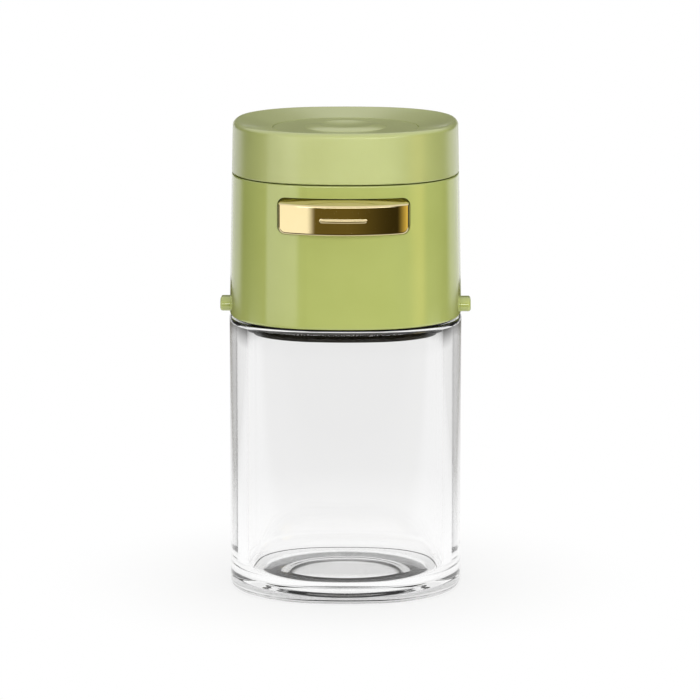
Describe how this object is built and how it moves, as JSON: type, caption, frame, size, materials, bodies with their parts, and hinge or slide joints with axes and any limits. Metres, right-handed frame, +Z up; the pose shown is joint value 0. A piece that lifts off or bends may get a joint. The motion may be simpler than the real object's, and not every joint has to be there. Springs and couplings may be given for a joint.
{
  "type": "measuring spice jar",
  "caption": "Soft-square glass spice jar with a push-in plastic dosing head, a push button that slides a dose pocket from inlet to outlet, and a dished lift-off cap.",
  "frame": {"origin": "middle of the jar's foot, on the plane it stands on", "axes": "+Z up along the jar, -Y out of the front where the push button is, +X to the right of the front view"},
  "size_m": [0.07, 0.0677, 0.1308],
  "materials": {
    "clear_glass": "clear fire-polished soda-lime glass",
    "green_gloss": "glossy moulded ABS, pistachio green",
    "green_satin": "satin moulded ABS, pistachio green",
    "gold_plate": "mirror gold plating on moulded ABS",
    "black_silicone": "moulded silicone, black",
    "pale_silicone": "moulded silicone, milky",
    "white_plastic": "moulded polypropylene, white",
    "dark_plastic": "moulded polypropylene, dark grey",
    "steel": "bright zinc-plated and stainless steel"
  },
  "bodies": {
    "jar": {"glass_jar": "clear_glass"},
    "head": {"plug_seal": "black_silicone", "base_plug": "dark_plastic", "base_screws": "steel", "funnel_gasket": "black_silicone", "funnel": "white_plastic", "head_shell": "green_gloss", "slide_track": "white_plastic", "inlet_wiper": "pale_silicone", "outlet_wiper": "pale_silicone", "stop_pins": "steel", "return_spring_left": "steel", "return_spring_right": "steel", "top_deck": "white_plastic", "deck_screws": "steel", "spigot_ring": "pale_silicone"},
    "button": {"dose_slider": "white_plastic", "button_shell": "gold_plate"},
    "cap": {"cap_shell": "green_satin", "cap_disc": "green_satin", "cap_liner": "white_plastic", "outlet_stopper": "pale_silicone", "cap_screws": "steel"}
  },
  "joints": [
    {"name": "head_lift", "type": "slide", "parent": "jar", "child": "head", "axis": [0, 0, 1], "range_m": [0, 0.06]},
    {"name": "button_press", "type": "slide", "parent": "head", "child": "button", "axis": [0, 1, 0], "range_m": [0, 0.0065], "stiffness_N_per_m": 400, "springref_m": -0.006, "deforming": ["return_spring_left", "return_spring_right"]},
    {"name": "cap_lift", "type": "slide", "parent": "head", "child": "cap", "axis": [0, 0, 1], "range_m": [0, 0.03]}
  ]
}
